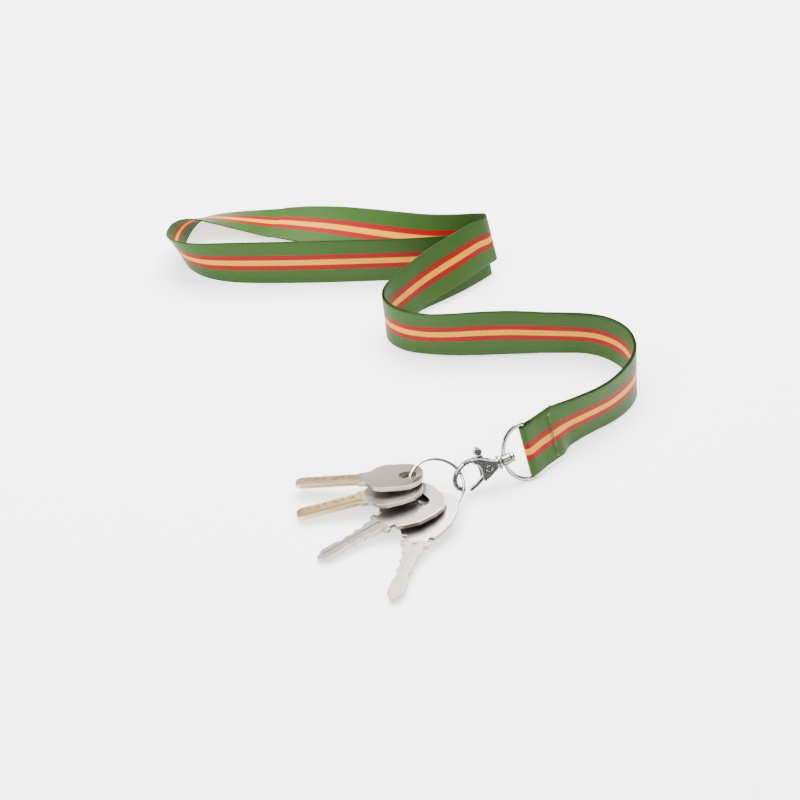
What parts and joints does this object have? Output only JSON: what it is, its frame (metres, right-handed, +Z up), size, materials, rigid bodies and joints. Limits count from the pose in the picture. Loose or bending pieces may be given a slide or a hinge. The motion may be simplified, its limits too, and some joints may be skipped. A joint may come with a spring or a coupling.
{
  "type": "neck lanyard with trigger clasp, split ring and keys",
  "caption": "Striped webbing neck lanyard lying in a loose curve, with a D-ring, swivelling trigger clasp, split ring and a fan of keys.",
  "frame": {"origin": "centre of the footprint, at the table surface", "axes": "+Z up from the table; +X towards the outer bend of the webbing, keys towards -Y, neck loop towards +Y"},
  "size_m": [0.2296, 0.2714, 0.0327],
  "materials": {
    "webbing": "matte",
    "thread": "matte",
    "nickel": "polished",
    "key_steel": "satin"
  },
  "bodies": {
    "webbing": {"strap": "webbing", "tack_thread_front": "thread", "tack_thread_rear": "thread"},
    "d_ring": {"d_ring": "nickel"},
    "clasp": {"swivel_rivet": "nickel", "clasp_body": "nickel", "gate_pin": "nickel", "gate_spring": "nickel"},
    "gate": {"gate_lever": "nickel"},
    "split_ring": {"split_ring": "nickel"},
    "key_upper": {"key_upper": "key_steel"},
    "key_lower": {"key_lower": "key_steel"},
    "key_car_left": {"key_car_left": "key_steel"},
    "key_car_front": {"key_car_front": "key_steel"}
  },
  "joints": [
    {"name": "d_ring_swing", "type": "hinge", "parent": "webbing", "child": "d_ring", "pos_m": [0.0602, -0.0579, 0.014], "axis": [-0.2582, 0.2702, 0.9276], "range_deg": [-25, 25]},
    {"name": "clasp_swivel", "type": "hinge", "parent": "d_ring", "child": "clasp", "pos_m": [0.05019, -0.0622, 0.01247], "axis": [-0.9099, -0.3907, -0.1394], "continuous": true},
    {"name": "gate_open", "type": "hinge", "parent": "clasp", "child": "gate", "pos_m": [0.04164, -0.06587, 0.01115], "axis": [-0.2783, 0.8242, -0.4932], "range_deg": [0, 14], "stiffness_Nm_per_rad": 0.002, "springref_deg": -11.46},
    {"name": "ring_swing", "type": "hinge", "parent": "clasp", "child": "split_ring", "pos_m": [0.02799, -0.07205, 0.00852], "axis": [-0.3076, 0.41, 0.8586], "range_deg": [-8, 8]},
    {"name": "key_upper_fan", "type": "hinge", "parent": "split_ring", "child": "key_upper", "pos_m": [0.00736, -0.07285, 0.01187], "axis": [-0.1026, 0.3463, 0.9325], "range_deg": [-14, 14]},
    {"name": "key_lower_fan", "type": "hinge", "parent": "split_ring", "child": "key_lower", "pos_m": [0.00717, -0.0771, 0.00997], "axis": [-0.1987, 0.2576, 0.9456], "range_deg": [-12, 12]},
    {"name": "key_car_left_fan", "type": "hinge", "parent": "split_ring", "child": "key_car_left", "pos_m": [0.01029, -0.08284, 0.00686], "axis": [-0.2027, 0.1145, 0.9725], "range_deg": [-10, 14]},
    {"name": "key_car_front_fan", "type": "hinge", "parent": "split_ring", "child": "key_car_front", "pos_m": [0.0155, -0.08553, 0.00479], "axis": [-0.2474, 0.0217, 0.9687], "range_deg": [-12, 14]}
  ]
}
